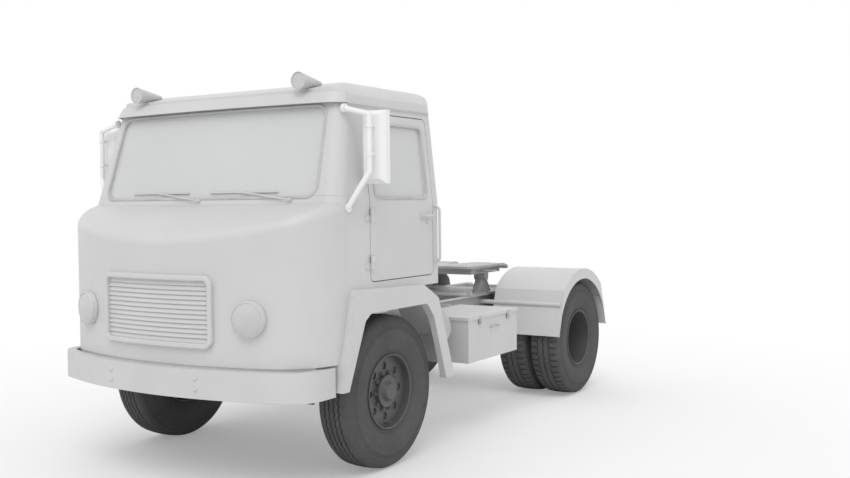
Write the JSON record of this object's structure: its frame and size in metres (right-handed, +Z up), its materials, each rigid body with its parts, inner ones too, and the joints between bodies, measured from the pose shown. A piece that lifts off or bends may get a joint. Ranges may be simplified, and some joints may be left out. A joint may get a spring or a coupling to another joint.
{
  "type": "semi truck tractor unit",
  "caption": "Forward-control road tractor with a rounded two-seat cab, twin rear tyres, a fifth-wheel coupling, steered front wheels and hinged doors.",
  "frame": {"origin": "on the ground, at the middle of the whole vehicle's length and width", "axes": "+Z up, +Y towards the rear, +X towards the vehicle's left side; the cab faces -Y"},
  "size_m": [2.7, 5.085, 2.7418],
  "materials": {
    "cab_paint": "smooth pale grey enamel",
    "floor_paint": "satin grey floor paint",
    "window_glass": "pale milky safety glass",
    "lamp_glass": "domed lens in a painted bezel",
    "horn_paint": "satin pale grey",
    "mirror_housing": "near white",
    "dash_plastic": "grained dark grey",
    "black_plastic": "black moulded rim",
    "seat_fabric": "woven grey cloth",
    "chassis_paint": "satin mid grey",
    "spring_steel": "dark painted spring steel",
    "axle_iron": "painted forging",
    "engine_iron": "painted casting",
    "radiator_metal": "dark finned core",
    "exhaust_steel": "dull steel",
    "coupling_iron": "greased machined casting",
    "lamp_red": "moulded lens",
    "tyre_rubber": "dark grey rubber",
    "wheel_paint": "dark grey enamel"
  },
  "bodies": {
    "chassis": {"cab_front_panel": "cab_paint", "cab_side_left": "cab_paint", "cab_side_right": "cab_paint", "cab_rear_panel": "cab_paint", "cab_roof": "cab_paint", "cab_floor": "floor_paint", "engine_tunnel": "floor_paint", "seat_boxes": "floor_paint", "cab_glass": "window_glass", "wheel_arches": "cab_paint", "grille": "cab_paint", "headlamps": "lamp_glass", "horns": "horn_paint", "mirrors": "mirror_housing", "dashboard": "dash_plastic", "steering_wheel": "black_plastic", "seat_cushions": "seat_fabric", "front_bumper": "cab_paint", "frame_rails": "chassis_paint", "leaf_springs": "spring_steel", "front_axle_beam": "axle_iron", "rear_axle_housing": "axle_iron", "engine_block": "engine_iron", "propshaft": "chassis_paint", "radiator": "radiator_metal", "battery_box": "cab_paint", "air_tank": "chassis_paint", "fuel_tank": "cab_paint", "exhaust": "exhaust_steel", "fifth_wheel_base": "coupling_iron", "rear_mudguards": "cab_paint", "tail_lamps": "lamp_red"},
    "coupling_plate": {"fifth_wheel_plate": "coupling_iron"},
    "left_door": {"door_left": "cab_paint", "door_glass_left": "window_glass"},
    "right_door": {"door_right": "cab_paint", "door_glass_right": "window_glass"},
    "left_knuckle": {"knuckle_left": "axle_iron"},
    "right_knuckle": {"knuckle_right": "axle_iron"},
    "track_rod": {"tie_rod": "axle_iron"},
    "front_left_wheel": {"front_tyre_left": "tyre_rubber", "front_rim_left": "wheel_paint"},
    "front_right_wheel": {"front_tyre_right": "tyre_rubber", "front_rim_right": "wheel_paint"},
    "rear_left_wheels": {"rear_tyres_left": "tyre_rubber", "rear_rims_left": "wheel_paint"},
    "rear_right_wheels": {"rear_tyres_right": "tyre_rubber", "rear_rims_right": "wheel_paint"}
  },
  "joints": [
    {"name": "left_steering", "type": "hinge", "parent": "chassis", "child": "left_knuckle", "pos_m": [0.8, -1.3375, 0.54], "axis": [0, 0, 1], "range_deg": [-35, 35]},
    {"name": "right_steering", "type": "hinge", "parent": "chassis", "child": "right_knuckle", "pos_m": [-0.8, -1.3375, 0.54], "axis": [0, 0, 1], "range_deg": [-35, 35]},
    {"name": "track_rod_pivot", "type": "hinge", "parent": "left_knuckle", "child": "track_rod", "pos_m": [0.8, -1.1075, 0.404], "axis": [0, 0, 1], "range_deg": [-35, 35]},
    {"name": "front_left_roll", "type": "hinge", "parent": "left_knuckle", "child": "front_left_wheel", "pos_m": [0.985, -1.3375, 0.54], "axis": [1, 0, 0], "continuous": true},
    {"name": "front_right_roll", "type": "hinge", "parent": "right_knuckle", "child": "front_right_wheel", "pos_m": [-0.985, -1.3375, 0.54], "axis": [1, 0, 0], "continuous": true},
    {"name": "rear_left_roll", "type": "hinge", "parent": "chassis", "child": "rear_left_wheels", "pos_m": [0.888, 1.8125, 0.54], "axis": [1, 0, 0], "continuous": true},
    {"name": "rear_right_roll", "type": "hinge", "parent": "chassis", "child": "rear_right_wheels", "pos_m": [-0.888, 1.8125, 0.54], "axis": [1, 0, 0], "continuous": true},
    {"name": "left_door_swing", "type": "hinge", "parent": "chassis", "child": "left_door", "pos_m": [1.17, -1.6345, 1.6], "axis": [0, 0, -1], "range_deg": [0, 70]},
    {"name": "right_door_swing", "type": "hinge", "parent": "chassis", "child": "right_door", "pos_m": [-1.17, -1.6345, 1.6], "axis": [0, 0, 1], "range_deg": [0, 70]},
    {"name": "coupling_rock", "type": "hinge", "parent": "chassis", "child": "coupling_plate", "pos_m": [0, 1.4225, 1.13], "axis": [1, 0, 0], "range_deg": [-12, 12]}
  ],
  "couplings": [
    {"joint": "right_steering", "follows": "left_steering", "ratio": 1},
    {"joint": "track_rod_pivot", "follows": "left_steering", "ratio": -1}
  ]
}
